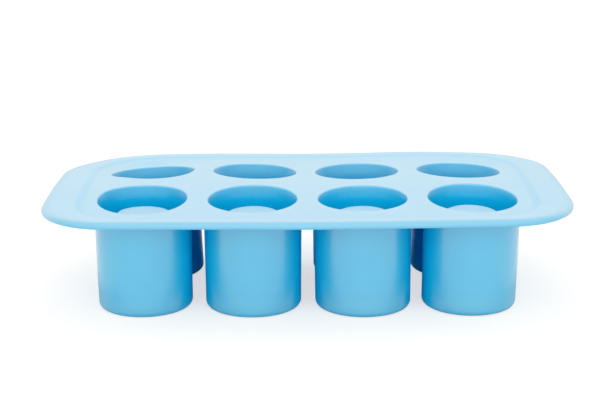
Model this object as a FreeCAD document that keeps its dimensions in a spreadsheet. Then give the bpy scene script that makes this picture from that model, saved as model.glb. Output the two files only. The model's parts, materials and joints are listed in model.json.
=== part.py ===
"""Soft one-piece mould that freezes water into eight drinking glasses of ice.

The mould is a thick flexible deck with a raised rim, and a grid of cups hangs from it. A hollow
core stands in each cup. Water fills the ring between cup and core, and the layer over the core
becomes the base of the glass. Millimetres, +Z up, origin under the middle on the resting plane.
"""

import FreeCAD
import Part

import math
import os

import Sketcher

NODE = "mould"
SMALL = 0.001

SIZES = {
    # the grid of cups
    "cups_per_row": 4,
    "rows": 2,
    "cup_gap": 7.3,
    "row_gap": 12.3,
    # one cup: a straight bore in a wall that thins towards the foot
    "bore_radius": 22.9,
    "cup_wall": 2.2,
    "cup_draft": 0.75,
    "floor_thickness": 2.0,
    "foot_break": 1.2,
    "lip_break": 0.8,
    # the hollow core that makes the inside of the glass
    "core_radius": 14.6,
    "core_wall": 2.0,
    "glass_base": 8.3,
    # the deck that carries the cups
    "overall_height": 59.0,
    "deck_thickness": 3.5,
    "rim_break": 1.1,
    "end_web": 10.4,
    "side_web": 15.6,
    "end_rim": 16.1,
    "side_rim": 7.4,
    "rim_corner_radius": 40.5,
    "field_corner_radius": 31.0,
    "side_bow_radius": 1350.0,
    # the sunk field inside the rim, crowned along its middle
    "field_drop": 1.0,
    "crown_rise": 4.6,
    "slope_angle": 48.0,
}

# sizes that follow from these, as expressions on the sheet of sizes
CUP_RADIUS = "(sizes.bore_radius + sizes.cup_wall)"
CUP_PITCH = f"(2 * {CUP_RADIUS} + sizes.cup_gap)"
ROW_PITCH = f"(2 * {CUP_RADIUS} + sizes.row_gap)"
LAST_CUP_X = f"((sizes.cups_per_row - 1) / 2 * {CUP_PITCH})"
LAST_CUP_Y = f"((sizes.rows - 1) / 2 * {ROW_PITCH})"
FIELD_X = f"({LAST_CUP_X} + {CUP_RADIUS} + sizes.end_web)"
FIELD_Y = f"({LAST_CUP_Y} + {CUP_RADIUS} + sizes.side_web)"
RIM_X = f"({FIELD_X} + sizes.end_rim)"
RIM_Y = f"({FIELD_Y} + sizes.side_rim)"
RIM_UNDERSIDE = "(sizes.overall_height - sizes.deck_thickness)"
RIDGE = "(sizes.overall_height - sizes.field_drop)"
CROWN_RADIUS = f"(({FIELD_Y} ^ 2 + sizes.crown_rise ^ 2) / (2 * sizes.crown_rise))"
CROWN_CENTRE = f"({CROWN_RADIUS} - {RIDGE})"
LIP = f"(sqrt({CROWN_RADIUS} ^ 2 - {LAST_CUP_Y} ^ 2) - {CROWN_CENTRE})"
CORE_TOP = f"({LIP} - sizes.glass_base)"
HOLLOW_TOP = f"({CORE_TOP} - sizes.core_wall)"
SLOPE_SHIFT = "(sizes.deck_thickness * tan((90 - sizes.slope_angle) / 2 * 1deg))"
SLOPE_DEPTH = "(sizes.field_drop + sizes.crown_rise + sizes.deck_thickness)"
CUP_TAPER = "tan(sizes.cup_draft * 1deg)"


def fill_sheet(doc):
    """The driving dimensions, one row each: the name, then its value with the name as alias."""
    sheet = doc.addObject("Spreadsheet::Sheet", "sizes")
    for row, (name, value) in enumerate(SIZES.items(), start=1):
        sheet.set(f"A{row}", name)
        sheet.set(f"B{row}", str(value))
        sheet.setAlias(f"B{row}", name)
    doc.recompute()
    return sheet


def value(sheet, expression):
    """The number that an expression on the sheet comes to."""
    result = sheet.evalExpression(expression.replace("sizes.", ""))
    return float(getattr(result, "Value", result))


def origin_feature(body, role):
    """One of the body's own origin planes or axes."""
    return [feature for feature in body.Origin.OriginFeatures if feature.Role == role][0]


def new_sketch(body, name, plane, across=None, out=None):
    """An empty sketch on an origin plane, moved in it and out of it by expressions if given."""
    sketch = body.newObject("Sketcher::SketchObject", name)
    sketch.AttachmentSupport = [(origin_feature(body, plane), "")]
    sketch.MapMode = "FlatFace"
    if across:
        sketch.setExpression("AttachmentOffset.Base.x", across)
    if out:
        sketch.setExpression("AttachmentOffset.Base.z", out)
    return sketch


def dimension(sketch, name, constraint, expression):
    """One driving dimension of a sketch, bound to the sheet."""
    index = sketch.addConstraint(constraint)
    sketch.renameConstraint(index, name)
    sketch.setExpression(f"Constraints.{name}", expression)


def place_point(sketch, sheet, name, geometry, end, across, up):
    """Holds a point at two distances from the origin; either may be negative or nought."""
    for letter, kind, expression in (("x", "DistanceX", across), ("y", "DistanceY", up)):
        distance = value(sheet, expression)
        if abs(distance) < 1e-9:
            axis = -2 if letter == "x" else -1
            sketch.addConstraint(Sketcher.Constraint("PointOnObject", geometry, end, axis))
        elif distance > 0:
            constraint = Sketcher.Constraint(kind, -1, 1, geometry, end, distance)
            dimension(sketch, f"{name}_{letter}", constraint, expression)
        else:
            constraint = Sketcher.Constraint(kind, geometry, end, -1, 1, -distance)
            dimension(sketch, f"{name}_{letter}", constraint, f"-({expression})")


def profile(sketch, sheet, corners):
    """A closed outline of straight sides through named corners: (name, across, up)."""
    points = [FreeCAD.Vector(value(sheet, x), value(sheet, y), 0) for _, x, y in corners]
    following = points[1:] + points[:1]
    sides = [sketch.addGeometry(Part.LineSegment(a, b), False) for a, b in zip(points, following)]
    for i, (name, across, up) in enumerate(corners):
        sketch.addConstraint(Sketcher.Constraint("Coincident", sides[i - 1], 2, sides[i], 1))
        place_point(sketch, sheet, name, sides[i], 1, across, up)


def bowed_outline(sketch, sheet, reach_x, reach_y, corner_radius):
    """A rectangle with straight ends, large round corners and gently bowed long sides."""
    half_x = value(sheet, reach_x)
    half_y = value(sheet, reach_y)
    corner = value(sheet, corner_radius)
    bow = value(sheet, "sizes.side_bow_radius")
    corner_x = half_x - corner
    corner_y = half_y - bow + math.sqrt((bow - corner) ** 2 - corner_x**2)
    lean = math.atan2(corner_x, corner_y - half_y + bow)
    numbers = {}
    for side, way_y in (("rear", 1), ("front", -1)):
        centre = FreeCAD.Vector(0, way_y * (half_y - bow), 0)
        circle = Part.Circle(centre, FreeCAD.Vector(0, 0, 1), bow)
        turn = way_y * math.pi / 2
        numbers[side] = sketch.addGeometry(Part.ArcOfCircle(circle, turn - lean, turn + lean), False)
    spans = {
        "right_rear": (1, 1, 0.0, math.pi / 2 - lean),
        "left_rear": (-1, 1, math.pi / 2 + lean, math.pi),
        "left_front": (-1, -1, math.pi, 1.5 * math.pi - lean),
        "right_front": (1, -1, 1.5 * math.pi + lean, 2 * math.pi),
    }
    for name, (way_x, way_y, low, high) in spans.items():
        centre = FreeCAD.Vector(way_x * corner_x, way_y * corner_y, 0)
        circle = Part.Circle(centre, FreeCAD.Vector(0, 0, 1), corner)
        numbers[name] = sketch.addGeometry(Part.ArcOfCircle(circle, low, high), False)
    for name, way_x in (("right", 1), ("left", -1)):
        low = FreeCAD.Vector(way_x * half_x, -way_x * corner_y, 0)
        high = FreeCAD.Vector(way_x * half_x, way_x * corner_y, 0)
        numbers[name] = sketch.addGeometry(Part.LineSegment(low, high), False)
    loop = ["right", "right_rear", "rear", "left_rear", "left", "left_front", "front", "right_front"]
    for here, following in zip(loop, loop[1:] + loop[:1]):
        joint = Sketcher.Constraint("Tangent", numbers[here], 2, numbers[following], 1)
        sketch.addConstraint(joint)
    for name in ("left_rear", "left_front", "right_front"):
        sketch.addConstraint(Sketcher.Constraint("Equal", numbers["right_rear"], numbers[name]))
    corner_size = Sketcher.Constraint("Radius", numbers["right_rear"], corner)
    dimension(sketch, "corner", corner_size, corner_radius)
    sketch.addConstraint(Sketcher.Constraint("Equal", numbers["rear"], numbers["front"]))
    bow_size = Sketcher.Constraint("Radius", numbers["rear"], bow)
    dimension(sketch, "bow", bow_size, "sizes.side_bow_radius")
    for side in ("rear", "front"):
        sketch.addConstraint(Sketcher.Constraint("PointOnObject", numbers[side], 3, -2))
    below = Sketcher.Constraint("DistanceY", numbers["rear"], 3, -1, 1, bow - half_y)
    above = Sketcher.Constraint("DistanceY", -1, 1, numbers["front"], 3, bow - half_y)
    dimension(sketch, "rear_reach", below, f"sizes.side_bow_radius - {reach_y}")
    dimension(sketch, "front_reach", above, f"sizes.side_bow_radius - {reach_y}")
    for name in ("right", "left"):
        sketch.addConstraint(Sketcher.Constraint("Vertical", numbers[name]))
    right = Sketcher.Constraint("DistanceX", -1, 1, numbers["right"], 1, half_x)
    left = Sketcher.Constraint("DistanceX", numbers["left"], 1, -1, 1, half_x)
    dimension(sketch, "right_reach", right, reach_x)
    dimension(sketch, "left_reach", left, reach_x)


def space_below_crown(sketch, sheet, thickness):
    """The region under an arch that is thickness below the field, seen along X."""
    half_y = value(sheet, RIM_Y)
    radius = value(sheet, f"{CROWN_RADIUS} - {thickness}")
    drop = value(sheet, CROWN_CENTRE)
    base_height = f"({RIDGE} - {SLOPE_DEPTH} - 2 * sizes.deck_thickness)"
    base = value(sheet, base_height)
    edge_z = math.sqrt(radius**2 - half_y**2) - drop
    rise = math.asin(half_y / radius)
    circle = Part.Circle(FreeCAD.Vector(0, -drop, 0), FreeCAD.Vector(0, 0, 1), radius)
    arch = sketch.addGeometry(Part.ArcOfCircle(circle, math.pi / 2 - rise, math.pi / 2 + rise))
    path = [(-half_y, edge_z), (-half_y, base), (half_y, base), (half_y, edge_z)]
    points = [FreeCAD.Vector(y, z, 0) for y, z in path]
    lines = [sketch.addGeometry(Part.LineSegment(a, b)) for a, b in zip(points, points[1:])]
    chain = [arch] + lines
    for here, following in zip(chain, chain[1:] + chain[:1]):
        sketch.addConstraint(Sketcher.Constraint("Coincident", here, 2, following, 1))
    sketch.addConstraint(Sketcher.Constraint("PointOnObject", arch, 3, -2))
    centre = Sketcher.Constraint("DistanceY", arch, 3, -1, 1, drop)
    dimension(sketch, "arch_centre", centre, CROWN_CENTRE)
    size = Sketcher.Constraint("Radius", arch, radius)
    dimension(sketch, "arch", size, f"{CROWN_RADIUS} - {thickness}")
    sketch.addConstraint(Sketcher.Constraint("Vertical", lines[0]))
    sketch.addConstraint(Sketcher.Constraint("Horizontal", lines[1]))
    sketch.addConstraint(Sketcher.Constraint("Vertical", lines[2]))
    place_point(sketch, sheet, "right", lines[1], 2, RIM_Y, base_height)
    left = Sketcher.Constraint("DistanceX", lines[1], 1, -1, 1, half_y)
    dimension(sketch, "left_reach", left, RIM_Y)


def pad(body, name, sketch, length, taper=None):
    """A pad that grows downward from its sketch, and narrows as it goes if it has a taper."""
    feature = body.newObject("PartDesign::Pad", name)
    feature.Profile = sketch
    feature.Reversed = True
    feature.setExpression("Length", length)
    if taper:
        feature.setExpression("TaperAngle", taper)
    return feature


def cut_below_crown(doc, body, sheet, name, thickness):
    """Takes away all that lies under the arch, right along the body."""
    sketch = new_sketch(body, f"{name}_arch", "YZ_Plane")
    space_below_crown(sketch, sheet, thickness)
    doc.recompute()
    volume = body.Shape.Volume
    feature = body.newObject("PartDesign::Pocket", name)
    feature.Profile = sketch
    feature.Type = "Length"
    feature.SideType = "Symmetric"
    feature.setExpression("Length", f"4 * {RIM_X}")
    doc.recompute()
    if feature.Shape.Volume >= volume - 1:
        raise RuntimeError(f"{name} cuts nothing")
    return feature


def cup_sketch(body, sheet, name, corners):
    """Half the section of one round feature, drawn on the axis of the first cup."""
    sketch = new_sketch(body, name, "XZ_Plane", f"-{LAST_CUP_X}", LAST_CUP_Y)
    profile(sketch, sheet, corners)
    return sketch


def turned(body, kind, name, sketch):
    """A revolution or groove about the cup's axis."""
    feature = body.newObject(kind, name)
    feature.Profile = sketch
    feature.ReferenceAxis = (sketch, ["V_Axis"])
    feature.Angle = 360
    return feature


def grid(body, name, originals):
    """Repeats turned features over all cups."""
    feature = body.newObject("PartDesign::LinearPattern", name)
    feature.Originals = originals
    feature.Direction = (origin_feature(body, "X_Axis"), [""])
    feature.Direction2 = (origin_feature(body, "Y_Axis"), [""])
    feature.setExpression("Length", f"2 * {LAST_CUP_X}")
    feature.setExpression("Length2", f"2 * {LAST_CUP_Y}")
    feature.setExpression("Occurrences", "sizes.cups_per_row")
    feature.setExpression("Occurrences2", "sizes.rows")
    body.Tip = feature
    return feature


def break_edges(doc, body, name, size, wanted):
    """Takes the sharpness off the edges of the body's tip that a test picks."""
    doc.recompute()
    base = body.Tip
    edges = [f"Edge{i}" for i, edge in enumerate(base.Shape.Edges, start=1) if wanted(edge)]
    feature = body.newObject("PartDesign::Chamfer", name)
    feature.Base = (base, edges)
    feature.setExpression("Size", size)
    doc.recompute()
    return feature


def samples(edge):
    """Nine points along an edge."""
    first, last = edge.FirstParameter, edge.LastParameter
    return [edge.valueAt(first + (last - first) * i / 8) for i in range(9)]


def make_field_space(doc, sheet):
    """The hollow above the field: its outline at the rim's top, sloping sides, crowned floor."""
    body = doc.addObject("PartDesign::Body", "field_space")
    outline = new_sketch(body, "field_outline", "XY_Plane", out="sizes.overall_height")
    bowed_outline(outline, sheet, FIELD_X, FIELD_Y, "sizes.field_corner_radius")
    pad(body, "field_block", outline, SLOPE_DEPTH, "-sizes.slope_angle")
    cut_below_crown(doc, body, sheet, "field_floor", "0")
    return body


def is_level(edge):
    """Whether an edge lies in one horizontal plane."""
    heights = [point.z for point in samples(edge)]
    return max(heights) - min(heights) < SMALL


def cup_axes(sheet):
    """Where the axes of all cups stand."""
    across = range(int(value(sheet, "sizes.cups_per_row")))
    along = range(int(value(sheet, "sizes.rows")))
    first = FreeCAD.Vector(-value(sheet, LAST_CUP_X), -value(sheet, LAST_CUP_Y), 0)
    step = FreeCAD.Vector(value(sheet, CUP_PITCH), value(sheet, ROW_PITCH), 0)
    return [first + FreeCAD.Vector(i * step.x, j * step.y, 0) for i in across for j in along]


def rings_cup(edge, axes, radius, low, high):
    """Whether an edge runs round a cup's axis at a radius, between two heights."""
    for point in samples(edge):
        offsets = [math.hypot(point.x - axis.x, point.y - axis.y) - radius for axis in axes]
        if min(abs(offset) for offset in offsets) > SMALL or not low < point.z < high:
            return False
    return True


def make_mould(doc, sheet):
    """The whole mould as one solid."""
    body = doc.addObject("PartDesign::Body", NODE)
    body.Label = NODE

    outline = new_sketch(body, "rim_outline", "XY_Plane", out="sizes.overall_height")
    bowed_outline(outline, sheet, RIM_X, RIM_Y, "sizes.rim_corner_radius")
    pad(body, "deck", outline, "sizes.deck_thickness")
    break_edges(doc, body, "rim_edges", "sizes.rim_break", is_level)
    pan_outline = new_sketch(body, "pan_outline", "XY_Plane", out=RIM_UNDERSIDE)
    pan_x = f"({FIELD_X} + {SLOPE_SHIFT})"
    pan_y = f"({FIELD_Y} + {SLOPE_SHIFT})"
    bowed_outline(pan_outline, sheet, pan_x, pan_y, f"sizes.field_corner_radius + {SLOPE_SHIFT}")
    pad(body, "pan", pan_outline, SLOPE_DEPTH, "-sizes.slope_angle")
    cut_below_crown(doc, body, sheet, "pan_underside", "sizes.deck_thickness")

    top = "sizes.overall_height"
    foot_radius = f"({CUP_RADIUS} - {LIP} * {CUP_TAPER})"
    wall_top = f"({CUP_RADIUS} + (sizes.overall_height - {LIP}) * {CUP_TAPER})"
    cup = cup_sketch(body, sheet, "cup_section", [
        ("middle", "0", "0"),
        ("foot_flat", f"{foot_radius} - sizes.foot_break", "0"),
        ("foot_side", f"{foot_radius} + sizes.foot_break * {CUP_TAPER}", "sizes.foot_break"),
        ("wall", wall_top, top),
        ("head", "0", top),
    ])
    grid(body, "cups", [turned(body, "PartDesign::Revolution", "cup", cup)])

    space = make_field_space(doc, sheet)
    field = body.newObject("PartDesign::Boolean", "field")
    field.Type = "Cut"
    field.Group = [space]
    doc.recompute()

    cavity = cup_sketch(body, sheet, "cavity_section", [
        ("core_middle", "0", CORE_TOP),
        ("core_edge", "sizes.core_radius", CORE_TOP),
        ("core_foot", "sizes.core_radius", "sizes.floor_thickness"),
        ("bore_foot", "sizes.bore_radius", "sizes.floor_thickness"),
        ("bore_top", "sizes.bore_radius", top),
        ("bore_middle", "0", top),
    ])
    hollow_radius = "(sizes.core_radius - sizes.core_wall)"
    hollow = cup_sketch(body, sheet, "hollow_section", [
        ("hollow_middle", "0", "0"),
        ("hollow_foot", hollow_radius, "0"),
        ("hollow_edge", hollow_radius, HOLLOW_TOP),
        ("hollow_head", "0", HOLLOW_TOP),
    ])
    grooves = [
        turned(body, "PartDesign::Groove", "cavity", cavity),
        turned(body, "PartDesign::Groove", "hollow", hollow),
    ]
    grid(body, "cavities", grooves)
    doc.recompute()
    axes = cup_axes(sheet)
    bore = value(sheet, "sizes.bore_radius")
    low = value(sheet, CORE_TOP)
    high = value(sheet, top)
    break_edges(
        doc, body, "lips", "sizes.lip_break", lambda edge: rings_cup(edge, axes, bore, low, high)
    )
    return body


def main():
    doc = FreeCAD.newDocument("ice_mould")
    sheet = fill_sheet(doc)
    body = make_mould(doc, sheet)
    for obj in doc.Objects:
        if "Invalid" in obj.State or "Error" in obj.State:
            raise RuntimeError(f"{obj.Name} failed: {obj.State}")
    shape = body.Shape
    if shape.isNull() or not shape.isValid() or len(shape.Solids) != 1:
        raise RuntimeError("the mould is not one valid solid")
    os.makedirs("parts", exist_ok=True)
    shape.exportStep(f"parts/{NODE}.step")
    box = shape.BoundBox
    print(f"{NODE}: {box.XLength:.1f} x {box.YLength:.1f} x {box.ZLength:.1f} mm")
    print(f"lowest point {box.ZMin:.3f} mm, volume {shape.Volume / 1000:.1f} cm3")


main()
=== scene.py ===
# %% [markdown]
# # A soft mould for drinking glasses of ice
#
# The mould is one moulding of soft sky-blue rubber. A deck with a raised rim carries eight cups,
# four by two, and a hollow core stands in each cup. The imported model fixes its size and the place
# of every cup. This lesson builds one finer surface round the same places, and gives it its finish.

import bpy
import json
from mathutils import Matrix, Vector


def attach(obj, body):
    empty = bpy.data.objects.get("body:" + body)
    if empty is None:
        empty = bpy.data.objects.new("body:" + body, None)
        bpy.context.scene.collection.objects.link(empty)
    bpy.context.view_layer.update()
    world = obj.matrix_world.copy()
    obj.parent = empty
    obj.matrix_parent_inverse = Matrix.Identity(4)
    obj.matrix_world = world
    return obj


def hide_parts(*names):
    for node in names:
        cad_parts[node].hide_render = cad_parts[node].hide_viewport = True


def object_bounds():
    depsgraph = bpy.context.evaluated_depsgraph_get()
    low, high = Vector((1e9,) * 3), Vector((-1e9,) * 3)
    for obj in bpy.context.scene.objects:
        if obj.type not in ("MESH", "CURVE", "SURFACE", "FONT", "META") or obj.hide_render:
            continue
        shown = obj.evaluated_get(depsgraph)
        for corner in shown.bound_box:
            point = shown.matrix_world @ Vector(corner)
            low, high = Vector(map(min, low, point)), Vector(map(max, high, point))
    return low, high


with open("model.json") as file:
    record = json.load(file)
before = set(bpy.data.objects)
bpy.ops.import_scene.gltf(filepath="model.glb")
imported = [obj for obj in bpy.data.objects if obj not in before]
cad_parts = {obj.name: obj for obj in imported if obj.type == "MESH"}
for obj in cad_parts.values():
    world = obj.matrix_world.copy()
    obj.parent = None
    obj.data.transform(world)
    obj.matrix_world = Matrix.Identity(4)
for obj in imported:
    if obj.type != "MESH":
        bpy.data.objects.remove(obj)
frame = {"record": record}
cad_low, cad_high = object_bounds()
print("the frame's box in metres:", tuple(cad_low), tuple(cad_high))

# %% [markdown]
# ## Where the cups hang
#
# The places could be typed in again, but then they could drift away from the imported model. The
# record lists the space in each cup's mouth as a box, and the middle of that box lies on the
# cup's axis, so the axes are read from there. Sums are in millimetres, as a mould maker works,
# and turn into metres only when a mesh is made.

# %% Read the cups' axes
import json
import math

import bmesh
import bpy
import numpy as np
from mathutils import Matrix, Vector

MM = 0.001


def cup_axes(record):
    """The axis (x, y) of each cup in mm, by name: the middle of the box in its mouth."""
    axes = {}
    for opening in record["physics"]["openings"]:
        name, _, kind = opening["name"].rpartition("_")
        if kind == "mouth":
            axes[name] = np.mean(opening["box_m"], axis=0)[:2] / MM
    return axes


AXES = cup_axes(frame["record"])
HALF_LENGTH = cad_high.x / MM
HALF_DEPTH = cad_high.y / MM
for name, axis in AXES.items():
    print(name, axis.round(2))

# %% [markdown]
# ## Sizes of the moulding
#
# Each radius and height is named once, in millimetres. They could all be read off the packed
# model, but that one is straight and true, and this surface also follows what soft rubber does
# when it stands on a table. So its openings, the taper of its cups and the level of its rim
# differ a little, and the whole stays inside the model's box.

# %% Name the sizes
BORE_RADIUS = 23.3
CUP_WALL = 1.8
CUP_DRAFT = 0.5
FLOOR_THICKNESS = 2.0
CORE_RADIUS = 14.6
CORE_WALL = 2.0
CORE_TOP = 48.8
DECK_THICKNESS = 3.5
MOUTH_HEIGHT = 57.05
RIM_HEIGHT = 57.35

END_RIM = 16.1
SIDE_RIM = 7.4
RIM_CORNER = 40.5
FIELD_CORNER = 31.0
SIDE_BOW = 1350.0
STEP_RUN = 5.8
FRONT_STEP_DROP = 2.4
REAR_STEP_DROP = 1.1
print("mouth and rim above the table, mm:", MOUTH_HEIGHT, RIM_HEIGHT)

# %% [markdown]
# ## How the rubber sags
#
# The deck is not a flat plate: soft rubber keeps a crown from its mould, and each mouth leans a
# little its own way. The eye picks up those leans first, in the shapes of the openings. Noise
# could stand in for them, but it would never give these openings, so they are kept per cup. The
# rim has slow waves of its own, which are kept as heights at a few places along it.

# %% Name the leans and the waves
# For each cup: the mouth's lift in mm, how it leans up towards +X and up towards +Y in degrees,
# how far the foot stands off the axis in X and Y in mm, and how far the wall stands out in mm.
MOUTHS = {
    "cup_front_1": (0.7, 0.5, 5.8, 0.4, -0.3, 0.1),
    "cup_front_2": (0.2, 0.0, 3.4, 0.0, -1.6, 0.5),
    "cup_front_3": (0.1, 0.5, 2.2, 0.3, -2.7, 0.5),
    "cup_front_4": (-0.1, -1.0, 4.0, -1.2, -2.1, 0.1),
    "cup_rear_1": (0.3, 3.0, -6.2, 2.8, 0.0, 0.1),
    "cup_rear_2": (0.2, -2.0, -3.0, -0.6, 0.0, 0.1),
    "cup_rear_3": (-0.2, 1.0, -2.5, 0.3, 0.0, 0.1),
    "cup_rear_4": (0.0, -1.5, -3.0, -1.5, 0.0, 0.1),
}

# For each wave: its place in plan, and how far the rim's top stands off RIM_HEIGHT there.
RIM_WAVES = np.array(
    [
        (-125.0, -60.0, -1.0),
        (-60.0, -77.0, -0.4),
        (0.0, -79.0, -0.5),
        (60.0, -77.0, -0.5),
        (125.0, -60.0, -0.6),
        (138.0, 0.0, 1.4),
        (125.0, 60.0, 0.15),
        (66.0, 77.0, 0.75),
        (30.0, 79.0, -0.1),
        (0.0, 79.0, -0.4),
        (-57.0, 78.0, 0.3),
        (-90.0, 75.0, 0.2),
        (-125.0, 60.0, -1.62),
        (-138.0, 0.0, 0.1),
    ]
)
print("the rim's top goes from", RIM_WAVES[:, 2].min(), "to", RIM_WAVES[:, 2].max(), "mm")

# %% [markdown]
# ## One sheet of rubber over eight mouths
#
# The top of the deck could be a grid pushed about by hand. A thin plate does better: it is the
# surface that bends least while it passes through given heights, which is also what a sheet of
# rubber does. Its heights are a plane plus one r squared log r term for each given place, and one
# linear system gives the weights.

# %% The thin plate
def thin_plate(places, heights):
    """The height function of least bending through places (n x 2) at heights (n).

    z(p) = c0 + c1 x + c2 y + the sum over the places of w * d^2 * log(d), where d is the distance
    from p to the place. The weights add up to nought and have no first moment.
    """

    def kernel(points):
        d2 = ((points[:, None] - places[None]) ** 2).sum(axis=2)
        return 0.5 * d2 * np.log(np.maximum(d2, 1e-12))

    count = len(places)
    plane = np.c_[np.ones(count), places]
    system = np.zeros((count + 3, count + 3))
    system[:count, :count] = kernel(places)
    system[:count, count:] = plane
    system[count:, :count] = plane.T
    weights = np.linalg.solve(system, np.r_[heights, np.zeros(3)])

    def height(x, y):
        points = np.c_[np.ravel(x), np.ravel(y)]
        bent = kernel(points) @ weights[:count]
        flat = np.c_[np.ones(len(points)), points] @ weights[count:]
        return (bent + flat).reshape(np.shape(x))

    return height


rim_wave = thin_plate(RIM_WAVES[:, :2], RIM_WAVES[:, 2])
print("the rim's wave at its first place, mm:", rim_wave(*RIM_WAVES[0, :2]).round(3))

# %% [markdown]
# ## The outline of the deck
#
# The rim and the field inside it are both rectangles with straight ends, large round corners and
# long sides that bow out a little. One function draws such a loop at any inset, as a straight
# piece, a corner arc and a long shallow arc, and mirrors that quarter twice. Every loop has the
# same count of points, so loops can be joined into a skin.

# %% A quarter of an outline
SEGMENTS = 96
SIDE = SEGMENTS // 4
COLUMNS = 4
ROWS = 2
END_SAMPLES = 100
CORNER_SAMPLES = 200
SIDE_SAMPLES = 400


def quarter_outline(half_x, half_y, corner, bow):
    """The quarter from the middle of the +X end to the middle of the +Y side.

    A straight end up to the corner's foot, an arc of radius corner round a centre that keeps it
    tangent to both, and an arc of radius bow round (0, half_y - bow). Points are spaced evenly
    on each side of the corner's middle.
    """
    centre_x = half_x - corner
    centre_y = half_y - bow + math.sqrt((bow - corner) ** 2 - centre_x**2)
    lean = math.atan2(centre_x, centre_y - half_y + bow)
    rise = np.linspace(0, centre_y, END_SAMPLES, endpoint=False)
    turn = np.linspace(0, math.pi / 2 - lean, CORNER_SAMPLES)
    swing = np.linspace(lean, 0, SIDE_SAMPLES)
    straight = np.c_[np.full(END_SAMPLES, half_x), rise]
    arc = np.c_[centre_x + corner * np.cos(turn), centre_y + corner * np.sin(turn)]
    side = np.c_[bow * np.sin(swing), half_y - bow + bow * np.cos(swing)]
    path = np.concatenate([straight, arc, side[1:]])
    length = np.r_[0, np.cumsum(np.linalg.norm(np.diff(path, axis=0), axis=1))]
    middle = centre_y + corner * (math.pi / 2 - lean) / 2
    wanted = np.r_[
        np.linspace(0, middle, ROWS * SIDE // 2, endpoint=False),
        np.linspace(middle, length[-1], COLUMNS * SIDE // 2 + 1),
    ]
    return np.c_[np.interp(wanted, length, path[:, 0]), np.interp(wanted, length, path[:, 1])]


rim_quarter = quarter_outline(HALF_LENGTH, HALF_DEPTH, RIM_CORNER, SIDE_BOW)
print("a quarter of the rim ends at", rim_quarter[-1].round(1))

# %% Whole outlines
def whole_loop(quarter):
    """A quarter mirrored to all four, anticlockwise from the middle of the +X end."""
    left = quarter[::-1] * (-1, 1)
    half = np.concatenate([quarter[:-1], left])
    return np.concatenate([half[:-1], (half[::-1] * (1, -1))[:-1]])


def inset_loop(half_x, half_y, corner, bow, inset):
    """An outline moved inwards: both half widths and both radii less the inset."""
    return whole_loop(quarter_outline(half_x - inset, half_y - inset, corner - inset, bow - inset))


def rim_loop(inset):
    """The rim's outline, moved inwards."""
    return inset_loop(HALF_LENGTH, HALF_DEPTH, RIM_CORNER, SIDE_BOW, inset)


def field_loop(inset):
    """The field's outline, where the step begins, moved inwards."""
    half_x, half_y = HALF_LENGTH - END_RIM, HALF_DEPTH - SIDE_RIM
    return inset_loop(half_x, half_y, FIELD_CORNER, SIDE_BOW - SIDE_RIM, inset)


print("points in each loop:", len(rim_loop(0)))

# %% [markdown]
# ## Heights of the field and the rim
#
# The plate passes through a ring of points at each mouth, which lean with that mouth, and through
# points along the foot of the step. The step is deepest along the two long sides and dies out in
# the middle of the ends, where the crowned field comes up to the rim. Between two mouths the
# plate can crest higher than the moulding is, so its highest places are eased off. Cutting them
# off flat would show as an edge, and the easing doesn't.

# %% Heights along the rim
def smooth(t):
    """0 below 0, 1 above 1, and 3t^2 - 2t^3 between."""
    t = np.clip(t, 0, 1)
    return t * t * (3 - 2 * t)


def rim_height(loop):
    """The level of the rim's top along a loop: its mean level and its own waves."""
    return RIM_HEIGHT + rim_wave(loop[:, 0], loop[:, 1])


def step_depth(loop):
    """How far the field lies below the rim: full along the sides, nought at the mid ends."""
    full = np.where(loop[:, 1] < 0, FRONT_STEP_DROP, REAR_STEP_DROP)
    return full * smooth(np.abs(loop[:, 1]) / (HALF_DEPTH - SIDE_RIM - STEP_RUN))


print("the rim's own top, mm:", rim_height(rim_loop(0)).min().round(2), "and up")

# %% Heights of the field
MOUTH_RING = 24.8
MOUTH_POINTS = 12
FOOT_STRIDE = SIDE // 4
CREST_FROM = 58.5
CREST_SPAN = 0.45


def mouth_points(name, radius, count):
    """Points on a circle round a cup's axis, and their heights on the leaning plane."""
    lift, lean_x, lean_y = MOUTHS[name][:3]
    angle = np.arange(count) * (2 * math.pi / count)
    offset = radius * np.c_[np.cos(angle), np.sin(angle)]
    slope = np.tan(np.radians([lean_x, lean_y]))
    return AXES[name] + offset, MOUTH_HEIGHT + lift + offset @ slope


def deck_plate():
    """The thin plate through all mouths and the foot of the step."""
    foot = field_loop(STEP_RUN)[::FOOT_STRIDE]
    foot_height = rim_height(foot) - step_depth(foot)
    rings = [mouth_points(name, MOUTH_RING, MOUTH_POINTS) for name in AXES]
    places = np.concatenate([foot] + [place for place, _ in rings])
    heights = np.concatenate([foot_height] + [height for _, height in rings])
    return thin_plate(places, heights)


PLATE = deck_plate()


def field_height(x, y):
    """The plate's height z, eased off above CREST_FROM so that it stays in the moulding's height.

    There z becomes CREST_FROM + CREST_SPAN * tanh((z - CREST_FROM) / CREST_SPAN).
    """
    height = PLATE(x, y)
    over = np.maximum(height - CREST_FROM, 0) / CREST_SPAN
    return np.minimum(height, CREST_FROM) + CREST_SPAN * np.tanh(over)


ridge_x = np.linspace(-110, 110, 9)
print("ridge between the rows, mm:", field_height(ridge_x, 0 * ridge_x).round(2))
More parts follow.
